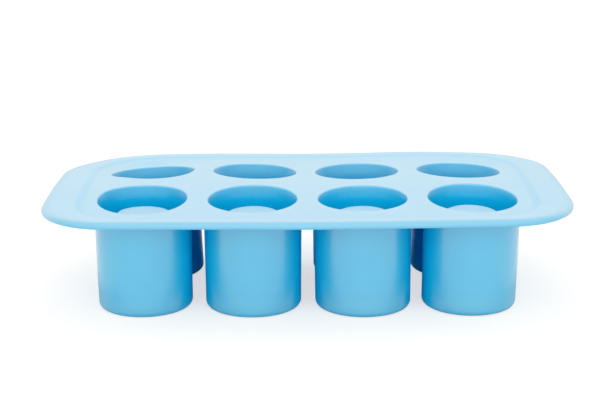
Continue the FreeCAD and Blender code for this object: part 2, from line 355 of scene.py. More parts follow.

# %% [markdown]
# ## Grids that join into one skin
#
# Every part of the skin is a grid of points, rows by columns, closed round its columns. A grid
# becomes faces by index sums on whole arrays. Neighbouring grids share their edge points, so the
# skin is closed by merging points that coincide.
#
# The finish changes with the shape, so each point also carries four numbers for the material:
# its polish, its painted shade, its painted sheen, and how far it lies in the crease of the step.
# The painted sheen is a pale layer that stands in for soft gloss and top light, mostly on what
# faces up. A grid gives the slope at which it starts, and the skin's own normals turn that into a
# level.

# %% Grids to faces
def grid_faces(rows, columns, start, flip):
    """Quads between the rows of a grid whose last column joins its first.

    Quad (i, j) joins points (i, j), (i, j+1), (i+1, j+1), (i+1, j); flip turns it over.
    """
    i, j = np.meshgrid(np.arange(rows - 1), np.arange(columns), indexing="ij")
    k = (j + 1) % columns
    quad = np.stack(
        [i * columns + j, i * columns + k, (i + 1) * columns + k, (i + 1) * columns + j], axis=-1
    )
    quad = quad.reshape(-1, 4) + start
    return quad[:, ::-1] if flip else quad


print("quads in a grid of 3 by 4:", len(grid_faces(3, 4, 0, False)))

# %% One mesh from many grids
MERGE_WITHIN = 2e-6
SHEEN_TO = 0.97


def over_grid(grid, value):
    """A number, or an array of numbers, spread over all points of a grid as one long row."""
    return np.broadcast_to(value, grid.shape[:2]).ravel().astype(np.float32)


def merge_points(mesh):
    """Merges the points that coincide, makes the faces smooth and prints what came out."""
    merged = bmesh.new()
    merged.from_mesh(mesh)
    bmesh.ops.remove_doubles(merged, verts=merged.verts, dist=MERGE_WITHIN)
    for face in merged.faces:
        face.smooth = True
    open_edges = sum(not edge.is_manifold for edge in merged.edges)
    print(mesh.name, "faces", len(merged.faces), "open edges", open_edges)
    print(mesh.name, "volume in cm3:", round(merged.calc_volume(signed=True) * 1e6, 1))
    merged.to_mesh(mesh)
    merged.free()


def painted_sheen_by_slope(mesh):
    """Turns each point's starting slope s into its painted sheen: smooth((n - s) / (SHEEN_TO - s)).

    n is how far the point's normal faces up, from -1 to 1.
    """
    normals = np.empty(3 * len(mesh.vertices), np.float32)
    mesh.vertex_normals.foreach_get("vector", normals)
    painted_sheen = mesh.attributes["painted_sheen"].data
    start = np.empty(len(mesh.vertices), np.float32)
    painted_sheen.foreach_get("value", start)
    level = smooth((normals[2::3] - start) / (SHEEN_TO - start))
    painted_sheen.foreach_set("value", level.astype(np.float32))


def skin_mesh(name, grids):
    """One mesh from grids of (points in mm, numbers by name, flip), coincident points merged."""
    points = np.concatenate([grid.reshape(-1, 3) for grid, _, _ in grids])
    starts = np.cumsum([0] + [grid[..., 0].size for grid, _, _ in grids])
    faces = [
        grid_faces(grid.shape[0], grid.shape[1], start, flip)
        for (grid, _, flip), start in zip(grids, starts)
    ]
    mesh = bpy.data.meshes.new(name)
    mesh.from_pydata((points * MM).tolist(), [], np.concatenate(faces).tolist())
    for label in grids[0][1]:
        values = np.concatenate([over_grid(grid, numbers[label]) for grid, numbers, _ in grids])
        mesh.attributes.new(label, "FLOAT", "POINT").data.foreach_set("value", values)
    merge_points(mesh)
    painted_sheen_by_slope(mesh)
    return mesh


print("points closer than this are one, in microns:", MERGE_WITHIN * 1e6)

# %% [markdown]
# ## A cell of the deck for each cup
#
# Round each mouth the deck is a square patch with a round hole. Its grid runs from the square to
# the circle: each point on the square's edge is paired with the point on the circle at the same
# share of the way round, and the rows blend between the two. Neighbouring cells share a side and
# its points. The block of all eight cells is a plain rectangle, and its four corners would run
# into the step at the field's round corners, so they are drawn in.

# %% The lines between cells
CELL_REACH = 27.6
CORNER_PULL = 6.2


def cell_sides():
    """The x and y lines between cells: halfway between axes, and a short way past the last."""
    lines = []
    for direction in (0, 1):
        values = sorted({round(float(axis[direction]), 3) for axis in AXES.values()})
        middles = [(a + b) / 2 for a, b in zip(values, values[1:])]
        lines.append([values[0] - CELL_REACH] + middles + [values[-1] + CELL_REACH])
    return lines


LINES_X, LINES_Y = cell_sides()
BLOCK = np.array([LINES_X[-1], LINES_Y[-1]])


def pulled(points):
    """Points with the block's four corners drawn in, to clear the field's round corners.

    The pull is CORNER_PULL * smooth(s) * smooth(t) along both axes, where s and t run from 0 at
    the last cup's axis to 1 at the block's edge.
    """
    share = smooth((np.abs(points) - BLOCK + CELL_REACH) / CELL_REACH)
    return points - np.sign(points) * CORNER_PULL * share.prod(axis=1, keepdims=True)


print("lines in x and y, mm:", np.round(LINES_X, 1), np.round(LINES_Y, 1))

# %% A cell's grid
CUP_ANGLES = -math.pi / 4 + np.arange(SEGMENTS) * (2 * math.pi / SEGMENTS)
CIRCLE = np.c_[np.cos(CUP_ANGLES), np.sin(CUP_ANGLES)]


def cell_square(axis):
    """Points round the cell that holds an axis, anticlockwise from its lower right corner.

    Along each side from a to b they lie at a + share * (b - a).
    """
    right = min(line for line in LINES_X if line > axis[0])
    left = max(line for line in LINES_X if line < axis[0])
    top = min(line for line in LINES_Y if line > axis[1])
    bottom = max(line for line in LINES_Y if line < axis[1])
    corners = np.array([(right, bottom), (right, top), (left, top), (left, bottom)])
    share = np.arange(SIDE)[:, None] / SIDE
    sides = [a + share * (b - a) for a, b in zip(corners, np.roll(corners, -1, axis=0))]
    return pulled(np.concatenate(sides))


def cell_patch(axis, radius, shares):
    """Rows of plan points: square + share * (circle - square), share 0 to 1."""
    square = cell_square(axis)
    circle = axis + radius * CIRCLE
    return np.stack([square + share * (circle - square) for share in shares])


def block_loop():
    """The outline of all the cells together, anticlockwise from the middle of the +X end."""
    share = np.arange(SIDE) / SIDE
    x = np.concatenate([a + share * (b - a) for a, b in zip(LINES_X, LINES_X[1:])])
    y = np.concatenate([a + share * (b - a) for a, b in zip(LINES_Y, LINES_Y[1:])])
    far_x, far_y = BLOCK
    bottom = np.c_[x, np.full(len(x), LINES_Y[0])]
    right = np.c_[np.full(len(y), far_x), y]
    top = np.c_[np.r_[far_x, x[:0:-1]], np.full(len(x), far_y)]
    left = np.c_[np.full(len(y), LINES_X[0]), np.r_[far_y, y[:0:-1]]]
    loop = np.concatenate([right, top, left, bottom])
    return pulled(np.roll(loop, -len(right) // 2, axis=0))


print("points round all the cells:", len(block_loop()))

# %% [markdown]
# ## The section of a cup
#
# From the mouth down, the skin turns over a soft lip, runs down the bore, rounds into the floor
# of the ring, climbs the core and closes over its top. Below, it leaves the underside of the
# deck, runs down the cup, rounds the foot and climbs into the hollow of the core. Each of these
# is a section of straight runs and quarter rounds, drawn once as radius and height. The bore and
# the wall are straight, but they have points on the way, because the finish changes along them
# and a number can only change from one point to the next.

# %% Runs and rounds
def rounded_section(corners):
    """Points (radius, height) along straight runs whose corners are rounded.

    corners lists (radius, height, round, steps). A corner's arc leaves each run at the distance
    round / tan(half the angle between the runs) from the corner. Its points are the corner's two
    tangent points swung about the arc's centre in equal steps. A corner with no round is one
    point.
    """
    spots = np.array([corner[:2] for corner in corners], float)
    points = []
    for index, (_, _, size, steps) in enumerate(corners):
        here = spots[index]
        if not size:
            points.append(here)
            continue
        back = spots[index - 1] - here
        ahead = spots[index + 1] - here
        back /= np.linalg.norm(back)
        ahead /= np.linalg.norm(ahead)
        half = math.acos(np.clip(back @ ahead, -1, 1)) / 2
        reach = size / math.tan(half)
        centre = here + (back + ahead) / np.linalg.norm(back + ahead) * size / math.sin(half)
        first = here + reach * back - centre
        last = here + reach * ahead - centre
        turn = math.pi - 2 * half
        share = np.linspace(0, 1, steps + 1)[:, None]
        arc = np.sin((1 - share) * turn) * first + np.sin(share * turn) * last
        points.extend(centre + arc / math.sin(turn))
    return np.array(points)


one_corner = [(0, 0, 0, 0), (9, 0, 3, 2), (9, 9, 0, 0)]
print("a corner with a round of 3 mm:", rounded_section(one_corner).round(1).tolist())

# %% The two sections
LIP_ROUND = 0.8
RING_FLOOR_ROUND = 2.2
CORE_FOOT_ROUND = 1.0
CORE_TOP_ROUND = 1.6
NECK_ROUND = 1.2
FOOT_ROUND = 3.2
HOLLOW_EDGE_ROUND = 0.8
HOLLOW_TOP_ROUND = 1.2
# These two rounds stop just short of their first point, so that no two points fall together.
LIP_SHORT = 0.999
NECK_SHORT = 0.97

BORE_ROWS = (54.8, 53.4, 52.0, 50.5, 49.0, 47.0, 44.0, 40.0, 34.0, 20.0)
WALL_ROWS = (51.0, 49.5, 44.0, 36.0, 27.0, 18.0, 12.0, 9.0, 6.0)
CORE_ROW = 24.0
CORE_RINGS = (8.5, 4.0, 0.0)
HOLLOW_ROW = 22.0
HOLLOW_RINGS = (6.0, 0.0)


def inner_section():
    """From the lip's outer tangent, over the lip, to the middle of the core's top."""
    return rounded_section(
        [
            (BORE_RADIUS + LIP_ROUND, MOUTH_HEIGHT, 0, 0),
            (BORE_RADIUS, MOUTH_HEIGHT, LIP_ROUND * LIP_SHORT, 6),
            *[(BORE_RADIUS, height, 0, 0) for height in BORE_ROWS],
            (BORE_RADIUS, FLOOR_THICKNESS, RING_FLOOR_ROUND, 5),
            (CORE_RADIUS, FLOOR_THICKNESS, CORE_FOOT_ROUND, 3),
            (CORE_RADIUS, CORE_ROW, 0, 0),
            (CORE_RADIUS, CORE_TOP, CORE_TOP_ROUND, 6),
            *[(radius, CORE_TOP, 0, 0) for radius in CORE_RINGS],
        ]
    )


def outer_section(swell=0.0):
    """From the neck under the deck, down the cup and round its foot, to the hollow's top."""
    underside = MOUTH_HEIGHT - DECK_THICKNESS
    top_radius = BORE_RADIUS + CUP_WALL + swell
    slope = math.tan(math.radians(CUP_DRAFT))
    foot_radius = top_radius - underside * slope
    hollow_radius = CORE_RADIUS - CORE_WALL
    hollow_top = CORE_TOP - CORE_WALL
    return rounded_section(
        [
            (top_radius + NECK_ROUND, underside, 0, 0),
            (top_radius, underside, NECK_ROUND * NECK_SHORT, 4),
            *[(foot_radius + slope * height, height, 0, 0) for height in WALL_ROWS],
            (foot_radius, 0.0, FOOT_ROUND, 7),
            (hollow_radius, 0.0, HOLLOW_EDGE_ROUND, 4),
            (hollow_radius, HOLLOW_ROW, 0, 0),
            (hollow_radius, hollow_top, HOLLOW_TOP_ROUND, 4),
            *[(radius, hollow_top, 0, 0) for radius in HOLLOW_RINGS],
        ]
    )


print("points in the two sections:", len(inner_section()), len(outer_section()))

# %% [markdown]
# ## Cups that lean with their mouths
#
# Turning a section about an axis gives an upright cup with a level lip. Each real mouth leans,
# while its foot stands flat and a little to one side. So the lean grows with height: at the foot
# a point keeps its height, and at the mouth it takes the deck's. Across the cup the lean grows
# with the radius, so that the core stays a true round with a nearly level top.

# %% One cup
PATCH_SHARES = (0.0, 0.22, 0.45, 0.68, 0.86, 1.0)


def turned_grid(name, section, lean):
    """A section (radius, height) turned about a cup's axis, with lean (a height per angle) added.

    A point moves up by (mean lean + (lean - mean) * radius / outer radius) * height / mouth
    height, and across by the foot's offset * (1 - height / mouth height).
    """
    axis = AXES[name]
    foot_x, foot_y = MOUTHS[name][3:5]
    radius = section[:, 0][:, None]
    height = section[:, 1][:, None]
    level = lean.mean()
    spread = (lean - level)[None]
    moved = height + (level + spread * radius / radius.max()) * height / MOUTH_HEIGHT
    below = 1 - height / MOUTH_HEIGHT
    x = axis[0] + foot_x * below + radius * CIRCLE[:, 0][None]
    y = axis[1] + foot_y * below + radius * CIRCLE[:, 1][None]
    return np.stack([x, y, moved], axis=-1)


def inner_cup(name):
    """The cell's top and all that is seen from above: lip, bore, ring floor and core."""
    section = inner_section()
    plan = cell_patch(AXES[name], section[0, 0], PATCH_SHARES)
    top = np.dstack([plan, field_height(plan[..., 0], plan[..., 1])])
    lean = top[-1, :, 2] - MOUTH_HEIGHT
    return np.concatenate([top[:-1], turned_grid(name, section, lean)])


def outer_cup(name):
    """The cell's underside and all that is seen from below: cup, foot and hollow."""
    section = outer_section(MOUTHS[name][5])
    plan = cell_patch(AXES[name], section[0, 0], PATCH_SHARES)
    under = np.dstack([plan, field_height(plan[..., 0], plan[..., 1]) - DECK_THICKNESS])
    height_share = MOUTH_HEIGHT / (MOUTH_HEIGHT - DECK_THICKNESS)
    lean = (under[-1, :, 2] + DECK_THICKNESS - MOUTH_HEIGHT) * height_share
    return np.concatenate([under[:-1], turned_grid(name, section, lean)])


print("rows in one cup:", len(inner_cup("cup_front_1")), len(outer_cup("cup_front_1")))

# %% [markdown]
# ## Painted shade and painted sheen on a cup
#
# Where cups face each other, light reaches the rubber mostly off other blue rubber, so it looks
# deep blue and has no gloss, and so does the rubber deep in the wells. A render's own bounces give
# part of this, and the rest is painted shade: a deeper blue and no coat. A painted sheen lightens
# the lips and the open feet. Both are numbers that run smoothly down a wall or round it. The rear
# wells are paler near their lips than the front ones, so the two rows change over different depths.

# %% Where a cup gets painted shade
SAME_ROW = 0.6
NEXT_CUP = 70.0
FACES_SAME_ROW = (0.65, 1.0)
FACES_OTHER_ROW = (0.1, 0.8)
LIP_OPEN = 1.0
WELL_DEEP = {"front": 7.5, "rear": 24.0}
DECK_FADE = (1.0, 3.0)


def row_of(name):
    """The row, front or rear, in a cup's name."""
    return name.split("_")[1]


def well_painted_shade(name, grid):
    """Painted shade in a well: nought as far as LIP_OPEN below the mouth, SAME_ROW from WELL_DEEP
    down.
    """
    depth = MOUTH_HEIGHT - LIP_OPEN - grid[..., 2]
    return SAME_ROW * smooth(depth / WELL_DEEP[row_of(name)])


def wall_painted_shade(name, grid):
    """Painted shade on the outside: one where it faces another cup, nought where it faces out.

    For each next cup it is most * smooth((c - low) / (high - low)), where c is the cosine between
    the way out from the cup's axis and the way to that cup. most is 1 for a cup of the other row
    and SAME_ROW for one of the same row. The largest is taken. It fades out within DECK_FADE's
    run, which ends a little above the deck's underside.
    """
    away = grid[..., :2] - AXES[name]
    away = away / np.maximum(np.linalg.norm(away, axis=-1, keepdims=True), 1e-6)
    painted_shade = np.zeros(grid.shape[:2])
    for other, axis in AXES.items():
        way = axis - AXES[name]
        distance = np.linalg.norm(way)
        if other == name or distance > NEXT_CUP:
            continue
        same_row = row_of(other) == row_of(name)
        most = SAME_ROW if same_row else 1.0
        low, high = FACES_SAME_ROW if same_row else FACES_OTHER_ROW
        cosine = away @ (way / distance)
        painted_shade = np.maximum(painted_shade, most * smooth((cosine - low) / (high - low)))
    above, run = DECK_FADE
    return painted_shade * smooth((MOUTH_HEIGHT - DECK_THICKNESS + above - grid[..., 2]) / run)


print("inside walls are shaded by up to", SAME_ROW)

# %% Where the painted sheen starts on a cup
SHEEN_FROM_CUP = 0.6
WELL_START = {"front": -0.7, "rear": -1.1}
WELL_SHEEN = {"front": 6.0, "rear": 24.0}
FOOT_START = -0.9
FOOT_SHEEN = 26.0


def well_sheen(name, grid):
    """Where the painted sheen starts inside: WELL_START at the lip, and as on the cup from
    WELL_SHEEN down.
    """
    deep = smooth((MOUTH_HEIGHT - grid[..., 2]) / WELL_SHEEN[row_of(name)])
    start = WELL_START[row_of(name)]
    return start + deep * (SHEEN_FROM_CUP - start)


def wall_sheen(grid, painted_shade):
    """Where the painted sheen starts outside: FOOT_START at an open foot, and as on the cup
    elsewhere.

    It is as on the cup from FOOT_SHEEN up and where the wall's painted shade is SAME_ROW or more.
    """
    unmarked = np.maximum(smooth(grid[..., 2] / FOOT_SHEEN), np.minimum(painted_shade / SAME_ROW, 1.0))
    return FOOT_START + unmarked * (SHEEN_FROM_CUP - FOOT_START)


print("bloom fades out", FOOT_SHEEN, "mm above the table")

# %% [markdown]
# ## The border: field edge, step, rim and rounded edge
#
# Outside the cells the deck is one profile carried round the outline. Going out on top it crosses
# the rest of the field, climbs the step in a soft S, crosses the rim and turns over its rounded
# edge, and then comes back below at one wall thickness. Each row of the grid is one loop.

# %% Over the top
EDGE_WIDTH = 3.4
STEP_STEPS = 8
FIELD_SHARES = (0.25, 0.5, 0.75, 0.92)
RIM_SHARES = (0.2, 0.55, 0.85)


def border_top():
    """Loops from the cells' outline to the start of the rim's rounded edge.

    Between two outlines a and b a loop is a + share * (b - a). It takes the field's height as far
    as the step's foot, foot + smooth(share) * (brow - foot) up the step, and the same without
    smooth across the rim.
    """
    block = block_loop()
    foot = field_loop(STEP_RUN)
    brow = field_loop(0.0)
    crest = rim_loop(EDGE_WIDTH)
    foot_height = field_height(foot[:, 0], foot[:, 1])
    brow_height = rim_height(brow)
    crest_height = rim_height(crest)
    rows = []
    for share in (0.0,) + FIELD_SHARES:
        loop = block + share * (foot - block)
        rows.append(np.c_[loop, field_height(loop[:, 0], loop[:, 1])])
    for share in np.linspace(0, 1, STEP_STEPS + 1):
        height = foot_height + smooth(share) * (brow_height - foot_height)
        rows.append(np.c_[foot + share * (brow - foot), height])
    for share in RIM_SHARES:
        height = brow_height + share * (crest_height - brow_height)
        rows.append(np.c_[brow + share * (crest - brow), height])
    return rows


print("rows over the top:", len(border_top()))

# %% Round the edge and back below
EDGE_DROP = 2.3
UNDER_ROUND = 0.5
EDGE_STEPS = 10
UNDER_STEPS = 4


def rim_edge():
    """The edge: a quarter of an ellipse over the top, and a small quarter round beneath.

    Over the top the inset is EDGE_WIDTH * (1 - sin t) and the drop EDGE_DROP * (1 - cos t), t
    from 0 to 90 degrees. Beneath, the inset is UNDER_ROUND * (1 - sin t), and the height over the
    underside UNDER_ROUND * (1 + cos t), t from 90 to 180 degrees.
    """
    rows = []
    for turn in np.linspace(0, math.pi / 2, EDGE_STEPS + 1):
        loop = rim_loop(EDGE_WIDTH * (1 - math.sin(turn)))
        rows.append(np.c_[loop, rim_height(loop) - EDGE_DROP * (1 - math.cos(turn))])
    for turn in np.linspace(math.pi / 2, math.pi, UNDER_STEPS + 1)[1:]:
        loop = rim_loop(UNDER_ROUND * (1 - math.sin(turn)))
        underside = rim_height(loop) - DECK_THICKNESS
        rows.append(np.c_[loop, underside + UNDER_ROUND * (1 + math.cos(turn))])
    return rows


def border():
    """The whole border, over the top, round the edge and back below."""
    top = border_top()
    below = [row - (0, 0, DECK_THICKNESS) for row in top[::-1]]
    return np.stack(top + rim_edge() + below)


print("rows in the border:", len(border()))

# %% [markdown]
# ## The finish of the border
#
# The inside of the mould was shaped by a polished tool and the outside by a matt one. They meet
# at the rounded edge. Along the step at the two ends a line of painted shade is drawn: the painted
# sheen is a little weaker there, and that faint line is most of what shows of the step there. The
# step could be made deeper for it, but the real one is as shallow, so a number marks the line: one
# along the middle of the step.

# %% Polish and crease
TOP_POLISH = 1.0
OUTSIDE_POLISH = 0.0
END_FROM = 95.0
END_SPAN = 20.0


def border_polish(grid):
    """Polished on top as far as the rounded edge, and as the outside from there on."""
    polish = np.full(grid.shape[:2], OUTSIDE_POLISH)
    polish[: len(border_top())] = TOP_POLISH
    return polish


# The crease number marks where a faint painted shade line lies along the step.
def border_crease(grid):
    """The sine of half a turn across the step * smooth((|x| - END_FROM) / END_SPAN)."""
    crease = np.zeros(grid.shape[:2])
    first = 1 + len(FIELD_SHARES)
    across = np.sin(np.linspace(0, math.pi, STEP_STEPS + 1))[:, None]
    rows = slice(first, first + STEP_STEPS + 1)
    crease[rows] = across * smooth((np.abs(grid[rows, :, 0]) - END_FROM) / END_SPAN)
    return crease


print("the crease reaches", border_crease(border()).max().round(3))

# %% [markdown]
# ## The mould as one closed skin
#
# Eight upper cups, eight lower cups and the border close up into a single skin with no seam. It
# could be eight cups pushed into a plate, but then each join would show as a line, and the real
# thing has none.

# %% Join the skin
SHEEN_FROM_RIM = -1.3


def material_numbers(polish, painted_shade, painted_sheen, crease=0.0):
    """The numbers that the material reads, by the names of their attributes."""
    return {"polish": polish, "painted_shade": painted_shade, "painted_sheen": painted_sheen, "crease": crease}


def cup_grids(name):
    """The two grids of a cup, inside and outside, with their numbers."""
    inside, outside = inner_cup(name), outer_cup(name)
    painted_shade = wall_painted_shade(name, outside)
    well = material_numbers(TOP_POLISH, well_painted_shade(name, inside), well_sheen(name, inside))
    wall = material_numbers(OUTSIDE_POLISH, painted_shade, wall_sheen(outside, painted_shade))
    return [(inside, well, False), (outside, wall, True)]


def build_mould():
    """The mould's object, its place in its mesh."""
    edge = border()
    numbers = material_numbers(border_polish(edge), 0.0, SHEEN_FROM_RIM, border_crease(edge))
    grids = [(edge, numbers, True)]
    for name in AXES:
        grids.extend(cup_grids(name))
    piece = bpy.data.objects.new("mould_skin", skin_mesh("mould_skin", grids))
    bpy.context.scene.collection.objects.link(piece)
    return piece


mould = build_mould()
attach(mould, "root")
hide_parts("mould")

# %% [markdown]
# ## Shader sums as Python sums
#
# A material is a graph of nodes, and a long graph is hard to read. One small class wraps a socket
# and turns Python's operators into Math nodes, so that a pattern reads like a formula. Any other
# node comes from one method. A Math node would turn a colour grey, so colours are blended by Mix
# nodes.

# %% The socket class
class Sum:
    """A shader socket on which +, - and * add Math nodes."""

    def __init__(self, tree, socket=None):
        self.tree = tree
        self.socket = socket

    def node(self, kind, settings=None, inputs=None, out=0):
        """Adds a node: its settings first, then values or links, and gives one of its outputs."""
        made = self.tree.nodes.new(kind)
        for key, setting in (settings or {}).items():
            setattr(made, key, setting)
        for key, source in (inputs or {}).items():
            if isinstance(source, Sum):
                self.tree.links.new(source.socket, made.inputs[key])
            else:
                made.inputs[key].default_value = source
        return Sum(self.tree, made.outputs[out] if made.outputs else None)

    def other(self, out):
        """Another output of this socket's own node."""
        return Sum(self.tree, self.socket.node.outputs[out])

    def maths(self, operation, first, second=0.0):
        """One Math node."""
        return self.node("ShaderNodeMath", {"operation": operation}, {0: first, 1: second})

    def __add__(self, other):
        return self.maths("ADD", self, other)

    __radd__ = __add__

    def __sub__(self, other):
        return self.maths("SUBTRACT", self, other)

    def __rsub__(self, other):
        return self.maths("SUBTRACT", other, self)

    def __mul__(self, other):
        return self.maths("MULTIPLY", self, other)

    __rmul__ = __mul__

    def band(self, low, high):
        """0 at low, 1 at high, smooth between."""
        settings = {"interpolation_type": "SMOOTHSTEP"}
        return self.node("ShaderNodeMapRange", settings, {0: self, 1: low, 2: high})

    def noise(self, scale, detail, roughness):
        """Soft noise from this vector, 0 to 1."""
        inputs = {"Vector": self, "Scale": scale, "Detail": detail, "Roughness": roughness}
        return self.node("ShaderNodeTexNoise", inputs=inputs)

    def number(self, name):
        """One of the numbers that the skin's points carry."""
        return self.node("ShaderNodeAttribute", {"attribute_name": name}, out="Fac")

    def blend(self, first, second, share):
        """A colour from first, at share 0, to second, at share 1."""
        inputs = {0: share, 6: first, 7: second}
        return self.node("ShaderNodeMix", {"data_type": "RGBA"}, inputs, out=2)

    def mixed(self, other, share):
        """This colour blended towards another by a share."""
        return self.blend(self, other, share)


print("operators of a Sum: + - *")

# %% A fresh material
def new_material(name):
    """A material with an empty tree, and a Sum to start from."""
    material = bpy.data.materials.new(name)
    material.use_nodes = True
    material.node_tree.nodes.clear()
    return material, Sum(material.node_tree)


print("materials so far:", len(bpy.data.materials))

# %% [markdown]
# ## The colour of the rubber
#
# The rubber is dyed through. One flat blue would look like paint, so the blue is blended step by
# step: clearer where the tool was polished, deeper in slow clouds where the dye lies thicker, and
# paler at fine specks of dust. Where cups face each other and deep in the wells, a fuller blue is
# painted shade.

# %% Blend the blues
WHITE = (1.0, 1.0, 1.0, 1.0)
BLACK = (0.0, 0.0, 0.0, 1.0)
RUBBER_BLUE = (0.02, 0.515, 0.8, 1.0)
RUBBER_INSIDE = (0.02, 0.58, 0.9, 1.0)
RUBBER_DEEP = (0.016, 0.51, 0.79, 1.0)
# Painted shade: fuller blues where cups face each other and deep in the wells, fullest between the
# rows.
RUBBER_PAINTED_SHADE = (0.0, 0.56, 0.9, 1.0)
RUBBER_SHADE_BETWEEN_ROWS = (0.0, 0.5, 0.86, 1.0)
DUST_PALE = (0.42, 0.68, 0.82, 1.0)

# Each noise is a scale per metre, its detail and its roughness.
CLOUD_NOISE = (28.0, 3.0, 0.55)
CLOUD_BAND = (0.35, 0.7)
CLOUD_MOST = 0.4
SPECK_NOISE = (900.0, 1.0, 0.4)
SPECK_BAND = (0.735, 0.78)
SPECK_MOST = 0.12


def shade_near_cups(start):
    """1 where the skin's painted shade is SAME_ROW or more."""
    return start.number("painted_shade").band(0.0, SAME_ROW)


def shade_between_rows(start):
    """1 where the skin faces a cup of the other row, where the painted shade is deepest."""
    return start.number("painted_shade").band(SAME_ROW, 1.0)


def rubber_colour(place, specks):
    """The dye's blue, by polish, cloud and dust, deeper as painted shade where cups face each
    other.
    """
    clouds = place.noise(*CLOUD_NOISE).band(*CLOUD_BAND)
    colour = place.blend(RUBBER_BLUE, RUBBER_INSIDE, place.number("polish"))
    colour = colour.mixed(RUBBER_DEEP, clouds * CLOUD_MOST)
    # Painted shade where cups face each other and deep in the wells.
    colour = colour.mixed(RUBBER_PAINTED_SHADE, shade_near_cups(place))
    colour = colour.mixed(RUBBER_SHADE_BETWEEN_ROWS, shade_between_rows(place))
    return colour.mixed(DUST_PALE, specks * SPECK_MOST)


print("the outside's blue:", RUBBER_BLUE[:3])

# %% [markdown]
# ## The gloss and the grain
#
# Cured rubber is satin. Its roughness varies with polish, with faint smears and at each speck. Its
# surface has the slow swell of a soft thing and the fine grain of the tool, both far too low to
# model, so a Bump node makes them. Open faces have a stronger, soft gloss, which a coat gives; the
# painted sheen dulls it, and the painted shade takes it away.

# %% Gloss and grain
ROUGH_LEVEL = 0.4
POLISH_SMOOTHS = 0.08
SMEAR_NOISE = (55.0, 4.0, 0.6)
SMEAR_SPREAD = 0.12
SPECK_ROUGHENS = 0.15
SHEEN_DULLS_COAT = 0.9
SWELL_NOISE = (130.0, 2.0, 0.5)
SWELL_HEIGHT = 0.00006
GRAIN_NOISE = (2600.0, 2.0, 0.6)
GRAIN_HEIGHT = 0.000006
BUMP_STRENGTH = 0.6


def rubber_roughness(place, specks):
    """A middle level, less where polished, with smears either way and more at specks."""
    polished = ROUGH_LEVEL - place.number("polish") * POLISH_SMOOTHS
    smears = (place.noise(*SMEAR_NOISE) - 0.5) * SMEAR_SPREAD
    return polished + smears + specks * SPECK_ROUGHENS


def rubber_coat(start):
    """(1 - shade near cups) * (1 - painted sheen * SHEEN_DULLS_COAT): no coat in the painted shade.
    """
    return (1.0 - shade_near_cups(start)) * (1.0 - start.number("painted_sheen") * SHEEN_DULLS_COAT)


def rubber_relief(place):
    """The normal bent by two noises, each times its height in metres."""
    height = place.noise(*SWELL_NOISE) * SWELL_HEIGHT + place.noise(*GRAIN_NOISE) * GRAIN_HEIGHT
    inputs = {"Strength": BUMP_STRENGTH, "Distance": 1.0, "Height": height}
    return place.node("ShaderNodeBump", inputs=inputs)


print("swell and grain in microns:", SWELL_HEIGHT * 1e6, GRAIN_HEIGHT * 1e6)

# %% [markdown]
# ## The painted sheen
#
# The painted sheen is a pale white layer that stands in for soft gloss and top light on the
# rubber. Mixing white into the colour would leave the gloss as it was, so the sheen is a shader of
# its own, mixed over the rubber by each point's painted sheen number. It shows more where the
# surface is seen edge on, as a sheen does, and the crease of the step shows a little less of it,
# which paints a faint shade line.

# %% The painted sheen's share
PAINTED_SHEEN_WHITE = (0.9, 0.91, 0.92, 1.0)
PAINTED_SHEEN_MOST = 0.53
EDGE_ON_BAND = (0.3, 0.65)
EDGE_ON_SHARE = 0.45
# How much of the painted sheen the crease of the step takes away, which paints a faint shade line.
CREASE_SHADE = 0.17


def painted_sheen_share(start):
    """painted sheen * (1 - E + E * edge on) * (1 - crease * CREASE_SHADE) * PAINTED_SHEEN_MOST.

    E is EDGE_ON_SHARE, and edge on runs from 0 to 1 over EDGE_ON_BAND of the Layer Weight.
    Along the crease of the step the sheen is a little weaker, which paints a faint shade line.
    """
    facing = start.node("ShaderNodeLayerWeight", inputs={"Blend": 0.5}, out="Facing")
    edge_on = facing.band(*EDGE_ON_BAND) * EDGE_ON_SHARE + (1.0 - EDGE_ON_SHARE)
    unmarked = 1.0 - start.number("crease") * CREASE_SHADE
    return start.number("painted_sheen") * edge_on * unmarked * PAINTED_SHEEN_MOST


print("most of the film's share:", PAINTED_SHEEN_MOST)

# %% [markdown]
# ## The rubber put together
#
# The parts above go into one Principled shader, and the painted sheen is mixed over it. Deep
# between the rows, light that has passed through the thin walls leaves a faint blue where a render
# would be nearly black. Letting light into the rubber for that would blur the whole skin, so a very
# faint painted glow stands in for it.

# %% Make the rubber
RUBBER_IOR = 1.33
COAT_ROUGHNESS = 0.22
COAT_IOR = 2.1
GLOW_BETWEEN = (0.0, 0.004, 0.045, 1.0)


def rubber_body(place):
    """The satin rubber, with its painted shade and painted glow, under the painted sheen."""
    specks = place.noise(*SPECK_NOISE).band(*SPECK_BAND)
    inputs = {
        "Base Color": rubber_colour(place, specks),
        "Roughness": rubber_roughness(place, specks),
        "IOR": RUBBER_IOR,
        "Coat Weight": rubber_coat(place),
        "Coat Roughness": COAT_ROUGHNESS,
        "Coat IOR": COAT_IOR,
        "Emission Color": place.blend(BLACK, GLOW_BETWEEN, shade_between_rows(place)),
        "Emission Strength": 1.0,
        "Normal": rubber_relief(place),
    }
    return place.node("ShaderNodeBsdfPrincipled", inputs=inputs)


def rubber_material():
    """Satin dyed rubber, clouded, dusty and finely grained, under a painted sheen."""
    material, start = new_material("silicone_rubber")
    place = start.node("ShaderNodeTexCoord", out="Object")
    sheen_layer = start.node("ShaderNodeBsdfDiffuse", inputs={"Color": PAINTED_SHEEN_WHITE})
    layers = {0: painted_sheen_share(start), 1: rubber_body(place), 2: sheen_layer}
    surface = start.node("ShaderNodeMixShader", inputs=layers)
    start.node("ShaderNodeOutputMaterial", inputs={"Surface": surface})
    return material


mould.data.materials.append(rubber_material())
print("nodes in the rubber:", len(mould.data.materials[0].node_tree.nodes))

